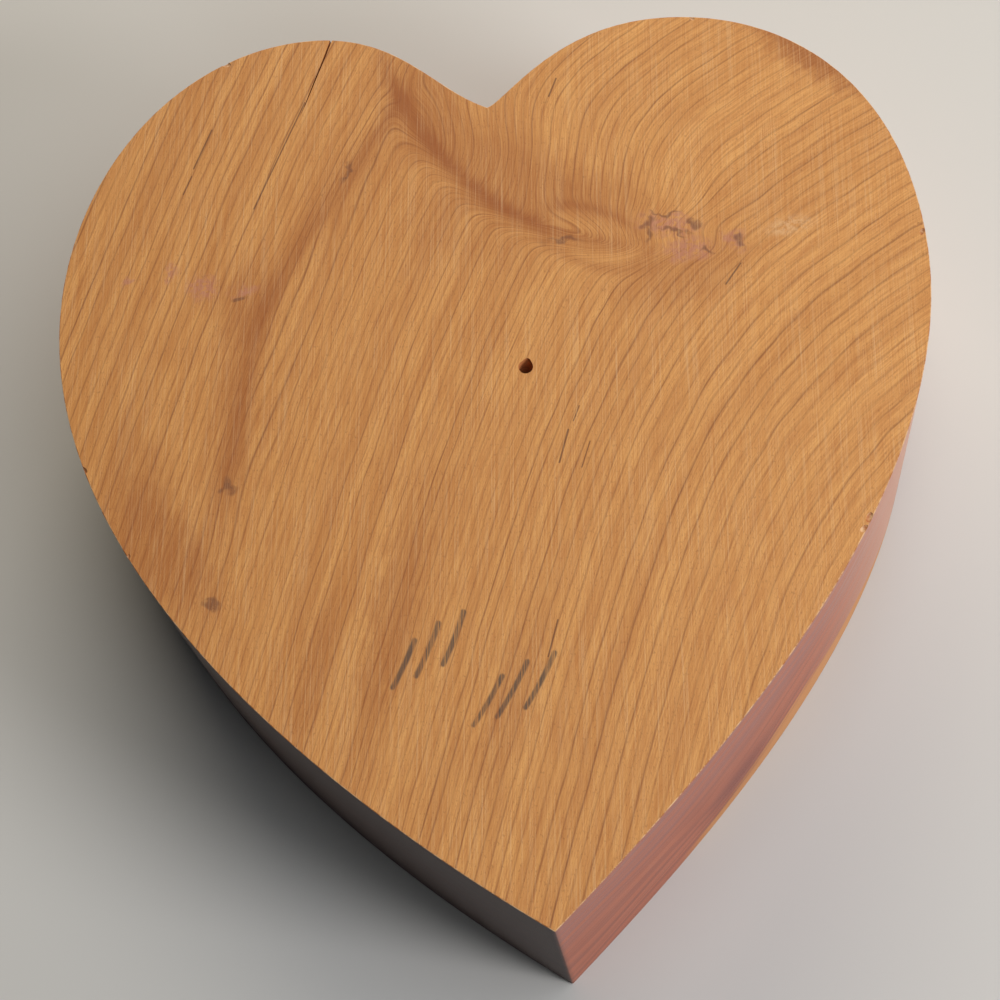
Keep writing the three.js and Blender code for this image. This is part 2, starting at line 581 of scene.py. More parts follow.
def positions(recipe):
    """The place on the piece in millimetres, as x, y and z."""
    place = recipe.node("ShaderNodeTexCoord", None, None, "Object")
    scaled = recipe.node("ShaderNodeVectorMath", {"operation": "SCALE"}, {0: place, "Scale": 1 / MM})
    x = recipe.node("ShaderNodeSeparateXYZ", None, {0: scaled}, "X")
    return x, x.other("Y"), x.other("Z")


def oval(recipe, face, place, size, lean=0.0):
    """Distance from the middle of a leaning oval, which is 1 on its edge."""
    turn = (0.0, 0.0, math.radians(lean))
    values = {"Vector": face, "Location": (*place, 0.0), "Rotation": turn, "Scale": (*size, 1.0)}
    inside = recipe.node("ShaderNodeMapping", {"vector_type": "TEXTURE"}, values)
    return recipe.node("ShaderNodeVectorMath", {"operation": "LENGTH"}, {0: inside}, "Value")


def swirl_distance(x, y):
    """Distance above the swirl's path, which falls from the cleft towards the knot."""
    fall = ((x - SWIRL_START) / -SWIRL_FALL).exp()
    slope = fall * (SWIRL_RISE / SWIRL_FALL)
    return (y - SWIRL_BASE - fall * SWIRL_RISE) / (slope * slope + 1.0).maths("SQRT")


def streak_distance(x, y):
    """Distance to the right of the brown streak in the left half."""
    path = y * 0.2 + STREAK_FOOT + soft_ramp(y, STREAK_BEND, 4.0) * 0.5
    return (x - path) * 0.85


def ring_field(recipe, x, y, z):
    """The field whose contour lines are the rings, in millimetres across the grain."""
    field = x * math.cos(LEAN) - y * math.sin(LEAN)
    for bend in (BRANCH_BEND, CROWN_BEND):
        along = x * bend["along"][0] + y * bend["along"][1]
        field = field - soft_ramp(along, bend["start"], bend["width"]) * bend["strength"]
    face = recipe.vector(x, y, 0.0)
    swirl = swirl_distance(x, y)
    fold = (swirl.at_least(0.0) / SWIRL_ABOVE + swirl.at_most(0.0) / SWIRL_BELOW).bell(1.0)
    field = field - fold * y.step(76.0, 54.0) * x.step(46.0, 20.0) * SWIRL_DEPTH
    field = field - oval(recipe, face, EYE_PLACE, EYE_SIZE, EYE_LEAN).bell(1.0) * EYE_DEPTH
    field = field + oval(recipe, face, KNOT_PLACE, KNOT_SIZE).bell(1.0) * KNOT_RISE
    field = field + streak_distance(x, y).bell(4.0) * y.step(-16.0, 0.0) * STREAK_RISE
    waver = recipe.noise(recipe.vector(x, y * 0.5, z), 0.12, 1.0) - 0.5
    return field + waver * WAVER - (HEIGHT - z) * DEPTH_TILT


def grain_parts(recipe, x, y, z):
    """What every wood finish needs: rings, single fibres and broad bands."""
    field = ring_field(recipe, x, y, z)
    along = x * math.sin(LEAN) + y * math.cos(LEAN)
    wide = soft_ramp(-field, **WIDER_LEFT) * 0.28 - soft_ramp(field, **WIDER_RIGHT) * 0.34
    count = (field + wide) / RING_SPACING
    tooth = count % 1.0
    ring = recipe.node("ShaderNodeTexWhiteNoise", {"noise_dimensions": "1D"}, {"W": count - tooth})
    fibre = recipe.noise(recipe.vector(field * 3.6, along * 0.14, z * 0.14), 1.0, 4.0, 0.75)
    halo = tooth.step(0.15, LINE_PLACE) * tooth.step(0.64, LINE_PLACE)
    line = (tooth - LINE_PLACE).bell(LINE_WIDTH) + halo * 0.2
    late = line * (ring * ring * 0.6 + 0.4) * (fibre * 1.6 + 0.1)
    band = recipe.noise(recipe.vector(field * 0.3, along * 0.01, z * 0.02), 1.0, 3.0, 0.7)
    return dict(late=late, fibre=fibre, band=band)


print("the ring field is written")

# %% [markdown]
# ## The finishes
#
# The underside is bare wood: golden, with thin dark rings, reddish bands, a swirl, small knots and resin
# streaks. Each mark is a mask, a number between 0 and 1 over the face, and a colour that is mixed in
# where it is high. Short marks are distances to a line between two points, so one function draws all of
# them.

# %% Masks for marks
def stroke(recipe, face, start, end, width):
    """1 on a short straight mark and 0 away from it, with round ends."""
    run = Vector(end) - Vector(start)
    middle = (Vector(end) + Vector(start)) / 2
    lean = (0.0, 0.0, math.atan2(run.y, run.x))
    values = {"Vector": face, "Location": (*middle, 0.0), "Rotation": lean, "Scale": (width, width, 1.0)}
    inside = recipe.node("ShaderNodeMapping", {"vector_type": "TEXTURE"}, values)
    folded = recipe.node("ShaderNodeVectorMath", {"operation": "ABSOLUTE"}, {0: inside})
    past_end = recipe.node("ShaderNodeVectorMath", {"operation": "SUBTRACT"},
                           {0: folded, 1: (run.length / width / 2, 0.0, 0.0)})
    outside = recipe.node("ShaderNodeVectorMath", {"operation": "MAXIMUM"}, {0: past_end, 1: (0.0, 0.0, 0.0)})
    return recipe.node("ShaderNodeVectorMath", {"operation": "LENGTH"}, {0: outside}, "Value").step(1.25, 0.5)


def blot(recipe, face, place, size, lean=0.0):
    """1 in the middle of a soft oval and 0 outside it."""
    return oval(recipe, face, place, size, lean).step(1.2, 0.3)


def strongest(masks):
    """The highest of several masks."""
    result = masks[0]
    for mask in masks[1:]:
        result = result.at_least(mask)
    return result


def new_recipe(name):
    """A new material and the recipe of its node tree."""
    material = bpy.data.materials.new(name)
    material.use_nodes = True
    material.node_tree.nodes.clear()
    return material, Recipe(material.node_tree)


def finish_material(recipe, colour, roughness, height, depth, fixed=None):
    """Joins a colour, a roughness and a relief to the surface."""
    bump = recipe.node("ShaderNodeBump", None, {"Height": height, "Distance": depth * MM, "Strength": 1.0})
    values = {"Base Color": colour, "Roughness": roughness, "Normal": bump} | (fixed or {})
    surface = recipe.node("ShaderNodeBsdfPrincipled", None, values)
    recipe.end("ShaderNodeOutputMaterial", "Surface", surface)


print("masks are ready")

# %% Colours of the bare wood
PALE_GOLD = (0.74, 0.37, 0.115, 1)
AMBER = (0.52, 0.215, 0.055, 1)
RING_BROWN = (0.22, 0.07, 0.02, 1)
RED_BROWN = (0.30, 0.078, 0.013, 1)
ORANGE_BROWN = (0.43, 0.145, 0.036, 1)
PINK_BARK = (0.47, 0.19, 0.12, 1)
DARK_RESIN = (0.085, 0.028, 0.014, 1)
SPECK_BROWN = (0.14, 0.045, 0.024, 1)
WORN_PALE = (0.72, 0.45, 0.24, 1)
PEN_GREY = (0.045, 0.038, 0.038, 1)

print("ten wood colours")

# %% [markdown]
# The marks were read from the photograph as places on the face. The brown shades are broad and soft, the
# bark spots and specks belong to the knots, and the resin marks are short dark lines along the grain.

# %% Places of the marks
# Start, end and half width
RESIN_MARKS = [
    ((-47.0, 66.0), (-50.5, 58.5), 0.16), ((-50.9, 57.0), (-52.5, 53.5), 0.12),
    ((-30.0, 69.5), (-40.0, 49.0), 0.14), ((15.2, 68.5), (13.6, 65.0), 0.16),
    ((11.2, 0.5), (9.2, -5.2), 0.17), ((14.6, -2.0), (12.8, -6.5), 0.11),
    ((13.4, 4.6), (12.2, 2.0), 0.12), ((43.2, 27.8), (40.3, 24.2), 0.16),
    ((6.5, -32.5), (4.4, -38.5), 0.13),
]
# Middle, half lengths, lean and strength
SHADES = [
    ((5.0, 50.0), (20.0, 10.0), -42.0, 0.40), ((-10.0, 66.0), (8.0, 15.0), 8.0, 0.42),
    ((34.0, 27.0), (15.0, 7.0), 12.0, 0.30), ((-3.0, 40.0), (14.0, 9.0), -30.0, 0.20),
    ((22.0, 43.0), (13.0, 6.0), -28.0, 0.28), ((-42.5, 31.0), (8.0, 10.0), 0.0, 0.30),
    ((-46.0, 8.0), (4.5, 26.0), -8.0, 0.24), ((-20.0, -28.0), (4.5, 30.0), -17.0, 0.34),
    ((-2.0, -46.0), (4.0, 22.0), -22.0, 0.26), ((-58.0, -14.0), (9.0, 17.0), 30.0, 0.50),
    ((-26.0, 48.0), (5.0, 20.0), -30.0, 0.16), ((61.0, 68.0), (17.0, 5.5), -44.0, 0.75),
    ((-34.0, -38.0), (3.0, 20.0), -17.0, 0.24), ((-62.0, 2.0), (7.0, 12.0), 20.0, 0.20),
]
# Middle, half lengths and lean
BARK_SPOTS = [
    ((32.0, 36.8), (6.2, 2.5), -14.0), ((34.5, 31.5), (5.0, 3.0), 0.0), ((42.8, 32.4), (2.4, 2.4), 0.0),
    ((-49.5, 34.6), (3.0, 3.0), 0.0), ((-42.0, 33.0), (2.8, 1.8), 0.0), ((-55.0, 38.0), (1.3, 2.2), -20.0),
    ((-62.5, 37.2), (1.0, 1.0), 0.0),
]
SPECKS = [
    ((28.6, 37.4), (1.3, 1.6), 0.0), ((36.4, 36.6), (1.1, 1.3), 0.0), ((31.4, 39.0), (2.8, 0.55), -12.0),
    ((33.0, 35.2), (3.2, 0.5), -20.0), ((43.6, 32.2), (1.0, 1.5), 30.0), ((-46.0, -3.2), (1.2, 1.8), 20.0),
    ((-49.4, -23.8), (1.7, 1.0), -20.0), ((13.6, 36.2), (3.8, 0.8), -10.0),
    ((-23.2, 54.4), (0.6, 3.4), -24.0), ((28.2, 35.4), (0.9, 1.6), 10.0),
    ((38.0, 31.0), (1.6, 0.5), -30.0), ((-43.5, 31.5), (1.0, 0.5), 10.0),
]
WORN_SPOT = ((52.5, 34.0), (5.0, 2.0), 8.0)
# Start and end
PEN_STROKES = [
    ((-7.5, -29.5), (-12.5, -38.0)), ((-12.0, -31.0), (-17.0, -39.5)), ((-16.5, -33.5), (-20.8, -41.0)),
    ((5.5, -38.0), (0.8, -46.5)), ((1.0, -39.0), (-3.6, -47.5)), ((-3.2, -41.0), (-7.2, -48.5)),
]
PEN_HALF_WIDTH = 0.5
PEN_MIDDLE = 39.0
print(len(RESIN_MARKS), "resin marks", len(SHADES), "shades", len(SPECKS), "specks")

# %% [markdown]
# The face is built in layers: first the wood itself, then the shades and the knots, then what tools and a
# pen left on top. Each layer is a function that takes a colour and gives a changed one.

# %% Wood, shades and knots of the underside
TEAR = (4.5, 4.5, 0.0)
EYE_RIM = (10.5, 5.2)


def golden_wood(recipe, x, grain):
    """Pale and amber bands, reddish fibres and thin dark rings, which are fainter towards the right."""
    amber = x.step(60.0, -30.0) * 0.35 + 0.55
    colour = recipe.mix(grain["band"].step(0.25, 0.75) * amber, PALE_GOLD, AMBER)
    colour = recipe.mix(grain["fibre"].step(0.36, 0.68) * 0.6, colour, ORANGE_BROWN)
    ring = x.step(60.0, 0.0) * 0.12 + 0.62
    return recipe.mix(grain["late"] * ring, colour, RING_BROWN)


def torn_plane(recipe, face):
    """The face pushed about by a noise, so that what is drawn on it gets ragged edges."""
    ragged = recipe.node("ShaderNodeTexNoise", None, {"Vector": face, "Scale": 0.45, "Detail": 1.5}, "Color")
    push = recipe.node("ShaderNodeVectorMath", {"operation": "SUBTRACT"}, {0: ragged, 1: (0.5, 0.5, 0.0)})
    return recipe.node("ShaderNodeVectorMath", {"operation": "MULTIPLY_ADD"}, {0: push, 1: TEAR, 2: face})


def brown_shades(recipe, x, y, face, torn, grain, colour):
    """Broad shades that follow the grain and gather round the swirl, the cleft and the left edge."""
    shade = blot(recipe, torn, *SHADES[0][:3]) * SHADES[0][3]
    for place, size, lean, strength in SHADES[1:]:
        shade = shade + blot(recipe, torn, place, size, lean) * strength
    streak = (streak_distance(x, y) + 1.0).bell(1.8) * y.step(-14.0, 2.0) * y.step(74.0, 60.0)
    streak = streak * (grain["band"] * 0.6 + 0.15)
    swirl = (swirl_distance(x, y) + 0.6).bell(1.6) * x.step(-19.0, -12.0) * x.step(30.0, 20.0) * 0.5
    eye = (oval(recipe, face, EYE_PLACE, EYE_RIM, EYE_LEAN) - 1.0).bell(0.2) * x.step(4.0, 16.0) * 0.34
    brown = (shade + streak + swirl + eye) * (grain["fibre"] * 0.9 + 0.55)
    return recipe.mix(brown.at_most(0.9), colour, RED_BROWN)


def knots(recipe, face, torn, colour):
    """Rough pink bark with dark specks, and one spot rubbed pale."""
    rough = recipe.noise(face, 0.9, 3.0, 0.7)
    bark = strongest([blot(recipe, torn, *spot) for spot in BARK_SPOTS])
    colour = recipe.mix(bark * rough.step(0.35, 0.55) * 0.8, colour, PINK_BARK)
    specks = strongest([blot(recipe, torn, *spot) for spot in SPECKS])
    colour = recipe.mix(specks * rough.step(0.2, 0.5) * 0.72, colour, SPECK_BROWN)
    worn = blot(recipe, face, *WORN_SPOT) * rough.step(0.35, 0.6)
    return recipe.mix(worn * 0.6, colour, WORN_PALE)


print("the wood's own layers are written")

# %% Scratches, pen strokes and the whole underside
SCRATCH_LEAN = 0.08
SCRATCH_COUNT = 4.4


def scratch_noise(recipe, x, y):
    """Saw and sanding scratches, which run almost straight up the face."""
    slanted = x - y * SCRATCH_LEAN
    return recipe.noise(recipe.vector(slanted * SCRATCH_COUNT, y * 0.035, 1.0), 1.0, 3.0, 0.85)


def scratches_and_pores(recipe, x, y, scratch, colour):
    """Pale and reddish scratches, and small dark pores."""
    colour = recipe.mix(scratch.step(0.48, 0.72) * 0.46, colour, WORN_PALE)
    colour = recipe.mix(scratch.step(0.52, 0.28) * 0.46, colour, ORANGE_BROWN)
    pores = recipe.noise(recipe.vector(x, y * 0.5, 3.0), 3.4, 1.0, 0.8)
    return recipe.mix(pores.step(0.45, 0.2) * 0.35, colour, RING_BROWN)


def pen_strokes(recipe, x, y, scratch, colour):
    """Faded strokes, bent a little, and broken where the nib skipped over the grain."""
    rise = y + PEN_MIDDLE
    bent = recipe.vector(x + rise * rise * 0.012, y, 0.0)
    pen = strongest([stroke(recipe, bent, start, end, PEN_HALF_WIDTH) for start, end in PEN_STROKES])
    return recipe.mix(pen * scratch.step(0.3, 0.6) * 0.85, colour, PEN_GREY)


def bare_face():
    """The whole underside, layer by layer."""
    material, recipe = new_recipe("bare_wood_underside")
    x, y, z = positions(recipe)
    face = recipe.vector(x, y, 0.0)
    torn = torn_plane(recipe, face)
    grain = grain_parts(recipe, x, y, z)
    scratch = scratch_noise(recipe, x, y)

    colour = golden_wood(recipe, x, grain)
    colour = brown_shades(recipe, x, y, face, torn, grain, colour)
    colour = knots(recipe, face, torn, colour)
    marks = strongest([stroke(recipe, face, *mark) for mark in RESIN_MARKS])
    colour = recipe.mix(marks * 0.8, colour, DARK_RESIN)
    colour = scratches_and_pores(recipe, x, y, scratch, colour)
    colour = pen_strokes(recipe, x, y, scratch, colour)

    roughness = grain["fibre"] * 0.12 + 0.5
    finish_material(recipe, colour, roughness, scratch, 0.045, {"Specular IOR Level": 0.35})
    return material


face_wood = bare_face()
print("underside:", len(face_wood.node_tree.nodes), "nodes")

# %% [markdown]
# The walls carry a red-brown varnish over the same wood, smoother than the bare face. On the right flank
# it turns paler pink towards the lobe, a strip of pale sapwood shows at the lower edge, and a knot there is
# almost purple. A mauve sheen is painted along the walls' upper part, and left of the tip the wall is
# painted nearly black as shade. The colours are mixed over a figure of long, nearly level waves.

# %% Varnished wall
VARNISH_RED = (0.47, 0.125, 0.057, 1)
VARNISH_DEEP = (0.19, 0.035, 0.028, 1)
# Painted sheen: mauve along the upper part of the walls
MAUVE_PAINTED_SHEEN = (0.36, 0.17, 0.16, 1)
VARNISH_PINK = (0.66, 0.37, 0.27, 1)
SAPWOOD = (0.66, 0.31, 0.11, 1)
# Painted shade: nearly black for the wall left of the tip, where the shade falls
PAINTED_SHADE_BLACK = (0.035, 0.026, 0.023, 1)
SAP_MIDDLE = 36.0
SAP_REACH = 26.0
# Middle along y, middle height, half lengths and strength
WALL_KNOTS = [(-52.0, 14.0, 7.0, 8.0, 1.0), (-64.0, 22.0, 6.0, 8.0, 0.7)]
# Fine checks in the dark wall near the tip, as x and height
WALL_CHECKS = [((-6.8, 37.0), (-3.4, 35.5), 0.22), ((-3.8, 34.6), (-0.4, 33.2), 0.18)]


def varnished_wall():
    """The outside of the walls."""
    material, recipe = new_recipe("varnished_wall")
    x, y, z = positions(recipe)
    right = x.step(20.0, 30.0)

    # The figure runs along the wall in slow waves, and winds round the dark knot
    sway = recipe.noise(recipe.vector(y * 0.03, z * 0.03, x * 0.01), 1.0, 1.0)
    knot = strongest([(y - along).bell(length) * (z - height).bell(rise) * strength
                      for along, height, length, rise, strength in WALL_KNOTS])
    level = z + sway * 15.0 + knot * right * 6.0
    figure = recipe.noise(recipe.vector(level * 0.36, y * 0.012, 5.0), 1.0, 3.0, 0.6)
    streaks = recipe.noise(recipe.vector(level * 2.6, y * 0.05, 9.0), 1.0, 3.0, 0.7)

    # Varnish, from deep red to pale pink, with a mauve sheen painted along the upper part
    colour = recipe.mix(figure.step(0.4, 0.62) * 0.5, VARNISH_RED, VARNISH_DEEP)
    colour = recipe.mix(z.step(24.0, 46.0) * figure.step(0.35, 0.6) * 0.65, colour, MAUVE_PAINTED_SHEEN)
    # Paler pink towards the lobe on the right flank
    paler_towards_lobe = (y + figure * 30.0).step(-26.0, 14.0) * x.step(14.0, 56.0)
    colour = recipe.mix(paler_towards_lobe * 0.8, colour, VARNISH_PINK)

    # Sapwood along the lower edge, then streaks and the knot over both
    sap_height = (y + SAP_MIDDLE).bell(SAP_REACH) * 12.0
    sapwood = (sap_height - z - figure * 9.0 + streaks * 8.0 - 1.0).step(-1.0, 1.0) * right
    colour = recipe.mix(sapwood * 0.85, colour, SAPWOOD)
    colour = recipe.mix(streaks.step(0.5, 0.75) * 0.35, colour, VARNISH_PINK)
    colour = recipe.mix(streaks.step(0.46, 0.25) * (0.42 - sapwood * 0.2), colour, VARNISH_DEEP)
    colour = recipe.mix(knot * right * (streaks * 0.9 + 0.25), colour, VARNISH_DEEP)

    # Painted shade: the wall left of the tip is coloured nearly black, with its checks
    painted_left_shade = x.step(2.4, 0.8) * y.step(60.0, 20.0)
    colour = recipe.mix(painted_left_shade * 0.9, colour, PAINTED_SHADE_BLACK)
    side = recipe.vector(x, z, 0.0)
    checks = strongest([stroke(recipe, side, *check) for check in WALL_CHECKS]) * painted_left_shade
    colour = recipe.mix(checks * 0.9, colour, DARK_RESIN)

    roughness = streaks * 0.15 + 0.36 + sapwood * 0.2 + painted_left_shade * 0.1
    finish_material(recipe, colour, roughness, streaks, 0.06, {"Specular IOR Level": 0.4})
    return material


wall_wood = varnished_wall()
print("wall:", len(wall_wood.node_tree.nodes), "nodes")

# %% [markdown]
# Inside, and on the lid, the wood is plain: the same rings without the marks. The edge of the face is
# worn in patches, some pale and some still brown, and the wood in the hole and the crack is a deep brown.

# %% Plain wood, worn edges and dark cuts
CUT_PALE = (0.60, 0.22, 0.07, 1)
CUT_DEEP = (0.34, 0.12, 0.04, 1)


def plain_wood(name, pale, dark, line, base_roughness):
    """Bands and rings of three colours, without marks."""
    material, recipe = new_recipe(name)
    x, y, z = positions(recipe)
    grain = grain_parts(recipe, x, y, z)
    late, fibre = grain["late"], grain["fibre"]
    colour = recipe.mix(grain["band"].step(0.3, 0.7), pale, dark)
    colour = recipe.mix(fibre.step(0.35, 0.75) * 0.3, colour, dark)
    colour = recipe.mix(late * 0.55, colour, line)
    finish_material(recipe, colour, fibre * 0.15 + base_roughness, fibre * 0.6 - late * 0.4, 0.06)
    return material


def worn_edge():
    """Pale wood where the edge is rubbed, and brown between."""
    material, recipe = new_recipe("worn_edge_wood")
    x, y, z = positions(recipe)
    wear = recipe.noise(recipe.vector(x, y, z), 0.4, 4.0, 0.75)
    colour = recipe.mix(wear.step(0.4, 0.6), ORANGE_BROWN, WORN_PALE)
    finish_material(recipe, colour, wear * 0.2 + 0.5, wear, 0.08)
    return material


inside_wood = plain_wood("plain_inside_wood", PALE_GOLD, AMBER, RING_BROWN, 0.55)
edge_wood = worn_edge()
lid_wood = plain_wood("oiled_lid_wood", AMBER, RED_BROWN, RING_BROWN, 0.4)
cut_wood = plain_wood("dark_cut_wood", CUT_PALE, CUT_DEEP, DARK_RESIN, 0.6)
print("three plain woods and one worn edge")

# %% [markdown]
# ## The body
#
# The tree gives a crisp block. A real block has slightly worn edges, so a narrow bevel follows, and then
# the cuts that the photograph shows: the small drilled hole with a nick in its rim, a crack that opens at
# the left lobe's edge, and a few chips. They are cut as real shapes, because they are deep enough to
# throw a shadow.

# %% Body block
EDGE_WEAR = 0.35
EDGE_STEPS = 3
BEVEL_FROM = 35

body = ring_object("heart_box", outer_outline)
hollow_ring = ring_object("hollow_ring", hollow_outline)
rebate_ring = ring_object("rebate_ring", rebate_outline)
run_tree(body, hollow_block_tree(face_wood), {
    "Height": HEIGHT * MM, "Floor Height": (HEIGHT - FLOOR_THICKNESS) * MM,
    "Seat Height": (LID_THICKNESS + SEAT_CLEARANCE) * MM, "Hollow": hollow_ring, "Rebate": rebate_ring,
})
discard(hollow_ring, rebate_ring)


def soften_edges(piece, width, steps):
    """A narrow bevel of some steps along every sharp edge."""
    bevel = piece.modifiers.new("edge_wear", "BEVEL")
    bevel.width = width * MM
    bevel.segments = steps
    bevel.limit_method = "ANGLE"
    bevel.angle_limit = math.radians(BEVEL_FROM)
    bake_modifiers(piece)


soften_edges(body, EDGE_WEAR, EDGE_STEPS)
print("body block:", len(body.data.polygons), "faces")

# %% Cutting forms for the hole, the crack and the chips
HOLE_PLACE = (5.1, 12.8)
HOLE_RADIUS = 1.2
HOLE_DEPTH = 5.0
HOLE_SIDES = 40
NICK_ANGLE = math.radians(72)
NICK_WIDTH = 0.45
# Height under the face, share of the radius and depth of the nick, from the top down
HOLE_LEVELS = [(-1.0, 1.1, 0.5), (0.4, 1.0, 0.4), (1.6, 0.97, 0.1), (HOLE_DEPTH, 0.9, 0.0)]
# x, y, width and depth
CRACK_POINTS = [(-23.8, 84.0, 0.42, 9.0), (-26.2, 78.0, 0.34, 7.0), (-28.3, 73.0, 0.26, 4.5),
                (-29.9, 69.2, 0.18, 2.5), (-31.2, 66.4, 0.04, 0.4)]
CRACK_OVERCUT = 0.5


def mesh_from(name, corners, faces):
    """An object from corners in millimetres, with its faces turned outwards."""
    mesh = bpy.data.meshes.new(name)
    mesh.from_pydata([(x * MM, y * MM, z * MM) for x, y, z in corners], [], faces)
    shape = bmesh.new()
    shape.from_mesh(mesh)
    bmesh.ops.recalc_face_normals(shape, faces=shape.faces)
    shape.to_mesh(mesh)
    shape.free()
    return add_object(name, mesh)


def hole_cutter():
    """A drilled hole, a little wider at the top, with a nick broken out of its rim."""
    rings = []
    for below, scale, nick in HOLE_LEVELS:
        ring = []
        for index in range(HOLE_SIDES):
            angle = math.tau * index / HOLE_SIDES
            away = math.remainder(angle - NICK_ANGLE, math.tau)
            radius = HOLE_RADIUS * scale + nick * math.exp(-(away / NICK_WIDTH)**2)
            x = HOLE_PLACE[0] + radius * math.cos(angle)
            y = HOLE_PLACE[1] + radius * math.sin(angle)
            ring.append((x, y, HEIGHT - below))
        rings.append(ring)
    corners = [corner for ring in rings for corner in ring]
    faces = [list(range(HOLE_SIDES)), list(range(len(corners) - HOLE_SIDES, len(corners)))]
    for top in range(0, len(corners) - HOLE_SIDES, HOLE_SIDES):
        low = top + HOLE_SIDES
        for index in range(HOLE_SIDES):
            following = (index + 1) % HOLE_SIDES
            faces.append([top + index, top + following, low + following, low + index])
    return mesh_from("hole_cutter", corners, faces)


def crack_cutter():
    """A wedge that opens at the lobe's edge and closes to nothing along the grain."""
    corners = []
    for index, (x, y, width, depth) in enumerate(CRACK_POINTS):
        ahead = CRACK_POINTS[min(index + 1, len(CRACK_POINTS) - 1)]
        behind = CRACK_POINTS[max(index - 1, 0)]
        run = Vector((ahead[0] - behind[0], ahead[1] - behind[1])).normalized()
        side = Vector((run.y, -run.x)) * width / 2
        top = HEIGHT + CRACK_OVERCUT
        corners += [(x + side.x, y + side.y, top), (x - side.x, y - side.y, top), (x, y, HEIGHT - depth)]
    faces = [[0, 1, 2]]
    for index in range(len(CRACK_POINTS) - 1):
        a, b = 3 * index, 3 * index + 3
        faces += [[a, a + 1, b + 1, b], [a + 1, a + 2, b + 2, b + 1], [a + 2, a, b, b + 2]]
    last = 3 * len(CRACK_POINTS) - 3
    faces.append([last, last + 1, last + 2])
    return mesh_from("crack_cutter", corners, faces)


def cut_away(piece, tool):
    """Takes a tool's form out of a piece and throws the tool away."""
    boolean = piece.modifiers.new("cut", "BOOLEAN")
    boolean.operation = "DIFFERENCE"
    boolean.solver = "EXACT"
    boolean.object = tool
    bake_modifiers(piece)
    discard(tool)


cut_away(body, hole_cutter())
cut_away(body, crack_cutter())
print("body after the cuts:", len(body.data.polygons), "faces")

# %% [markdown]
# The chips are one small flat form, repeated along the edge by Geometry Nodes, with a fixed seed for its
# turns and sizes. The points say where the edge is chipped: at both lobes, and down both flanks to the
# tip.

# %% Chips along the edge
CHIP_PLACES = [
    (74.4, 30.0), (73.8, 31.6), (58.3, -20.6), (57.2, -22.4), (49.0, -34.6), (27.5, -60.2), (25.2, -62.0),
    (-71.0, 2.6), (-63.5, -14.0), (-38.2, -49.6), (-20.4, -66.8), (-6.2, -77.2), (40.5, 77.6), (-44.0, 79.4),
]
CHIP_SIZE = (0.4, 1.0)
CHIP_SHAPE = (1.0, 0.6, 0.38)
CHIP_SEED = 4


def chip_tree(material):
    sizes = dict.fromkeys(("Smallest", "Largest"), "NodeSocketFloat")
    recipe, given = geometry_recipe("edge_chips", sizes | {"Seed": "NodeSocketInt"})
    lump = recipe.node("GeometryNodeMeshIcoSphere", None, {"Radius": 1.0, "Subdivisions": 2})
    turn = recipe.node("FunctionNodeRandomValue", {"data_type": "FLOAT_VECTOR"},
                       {0: (0, 0, 0), 1: (0, 0, math.tau), "Seed": given["Seed"]})
    size = recipe.node("FunctionNodeRandomValue", {"data_type": "FLOAT"},
                       {2: given["Smallest"], 3: given["Largest"], "Seed": given["Seed"] + 5}, 1)
    squashed = recipe.node("ShaderNodeVectorMath", {"operation": "SCALE"}, {0: CHIP_SHAPE, "Scale": size})
    rows = recipe.node("GeometryNodeInstanceOnPoints", None,
                       {"Points": given["Geometry"], "Instance": lump, "Rotation": turn, "Scale": squashed})
    finish_tree(recipe, rows, material)
    return recipe


chips = add_object("chip_cutter", bpy.data.meshes.new("chip_cutter"))
chips.data.from_pydata([(x * MM, y * MM, HEIGHT * MM) for x, y in CHIP_PLACES], [], [])
run_tree(chips, chip_tree(edge_wood), {
    "Smallest": CHIP_SIZE[0] * MM, "Largest": CHIP_SIZE[1] * MM, "Seed": CHIP_SEED,
})
chip_faces = len(chips.data.polygons)
cut_away(body, chips)
print("chips:", chip_faces, "cutter faces; body:", len(body.data.polygons), "faces")

# %% [markdown]
# Each face of the body now gets its finish from where it is: the flat top is bare, upright faces on the
# outside are varnished, the narrow edge between them is worn, and the hole and the crack are dark.

# %% Finishes on the body
BODY_WOODS = [face_wood, wall_wood, edge_wood, inside_wood, cut_wood]
BARE, VARNISHED, WORN, PLAIN, DARK = range(len(BODY_WOODS))
SHARP_FROM = 12
# How near the hole, the crack and the outline a face has to be to take their finish, and how deep it may lie
HOLE_REACH = 3.0
CRACK_REACH = 3.4
CRACK_DEEPEST = 10.0
EDGE_REACH = 0.9
EDGE_HEIGHT = 0.8


def look_of(up, depth, foot, away, from_hole, from_crack):
    """The finish of one face, from how far it looks up, where it is and how far the marks are."""
    if up > 0.99 and depth < 0.01:
        return BARE
    if from_hole < HOLE_REACH and depth < HOLE_DEPTH + 0.1:
        return DARK
    if from_crack < CRACK_REACH and away > 0.05 and depth < CRACK_DEEPEST:
        return DARK
    if away < EDGE_REACH and depth < EDGE_HEIGHT:
        return WORN
    if away < 0.2 and abs(up) < 0.4:
        return VARNISHED
    if away < 0.6 and foot < 0.5:
        return VARNISHED
    return PLAIN


def dress_body(piece):
    """Gives every face of the body its finish."""
    mesh = piece.data
    mesh.materials.clear()
    for material in BODY_WOODS:
        mesh.materials.append(material)
    centres = np.array([polygon.center[:] for polygon in mesh.polygons]) / MM
    outside = distance_to_loop(centres[:, :2], outer_outline)
    hole = np.hypot(centres[:, 0] - HOLE_PLACE[0], centres[:, 1] - HOLE_PLACE[1])
    crack_line = np.array([point[:2] for point in CRACK_POINTS])
    crack = np.array([np.hypot(*(crack_line - centre).T).min() for centre in centres[:, :2]])
    for polygon, foot, away, from_hole, from_crack in zip(mesh.polygons, centres[:, 2], outside, hole, crack):
        up = polygon.normal.z
        polygon.material_index = look_of(up, HEIGHT - foot, foot, away, from_hole, from_crack)


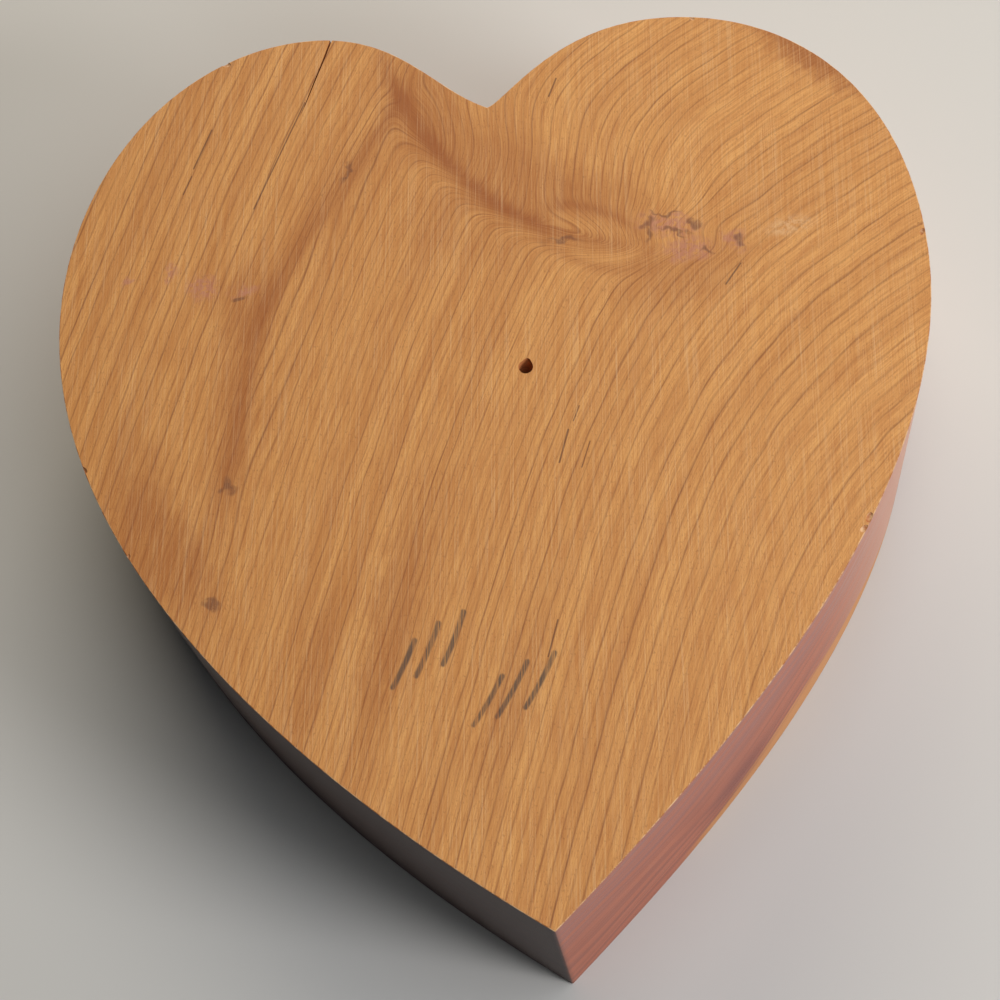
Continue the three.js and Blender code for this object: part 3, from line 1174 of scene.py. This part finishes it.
def shade(piece, angle):
    """Smooth across gentle bends, sharp across edges steeper than the angle."""
    mesh = piece.data
    mesh.shade_smooth()
    mesh.set_sharp_from_angle(angle=math.radians(angle))


dress_body(body)
shade(body, SHARP_FROM)
print("body finishes:", np.bincount([polygon.material_index for polygon in body.data.polygons]))

# %% [markdown]
# ## The lid
#
# The lid is a flat heart that drops into the rebate, with a half-round notch under the cleft for a
# fingertip. It is made by its own small tree and gets the same narrow bevel.

# %% Lid panel
NOTCH_RADIUS = 8.0
NOTCH_PLACE = (CLEFT.x, CLEFT.y - RIM_THICKNESS - SIDE_CLEARANCE)

lid = ring_object("lift_off_lid", lid_outline)
run_tree(lid, lid_tree(lid_wood), {
    "Thickness": LID_THICKNESS * MM, "Notch Radius": NOTCH_RADIUS * MM,
    "Notch Place": (NOTCH_PLACE[0] * MM, NOTCH_PLACE[1] * MM, 0.0),
})
soften_edges(lid, EDGE_WEAR, EDGE_STEPS)
shade(lid, SHARP_FROM)
print("lid:", len(lid.data.polygons), "faces")

# %% [markdown]
# ## The floor
#
# The box lies on a plain pale floor. The floor is only a stage, so it isn't part of the box.

# %% Floor
FLOOR_SIZE = 2400.0
FLOOR_Z = -0.05
FLOOR_COLOUR = (0.62, 0.61, 0.60, 1)


def pale_floor():
    material, recipe = new_recipe("pale_floor")
    surface = recipe.node("ShaderNodeBsdfPrincipled", None, {"Base Color": FLOOR_COLOUR, "Roughness": 0.95})
    recipe.end("ShaderNodeOutputMaterial", "Surface", surface)
    half = FLOOR_SIZE / 2
    corners = [(-half, -half, FLOOR_Z), (half, -half, FLOOR_Z), (half, half, FLOOR_Z), (-half, half, FLOOR_Z)]
    floor = mesh_from("floor", corners, [[0, 1, 2, 3]])
    floor.data.materials.append(material)
    return floor


floor = pale_floor()
print("floor is a stage")

# %% [markdown]
# ## Hand over
#
# Each piece rides on the box's one body and stands for its solid from the frame.

# %% Bodies and hidden frame parts
for piece, node, slot in ((body, BODY_NODE, "bare_wood"), (lid, LID_NODE, "lid_wood")):
    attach(piece, "root")
    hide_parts(node)
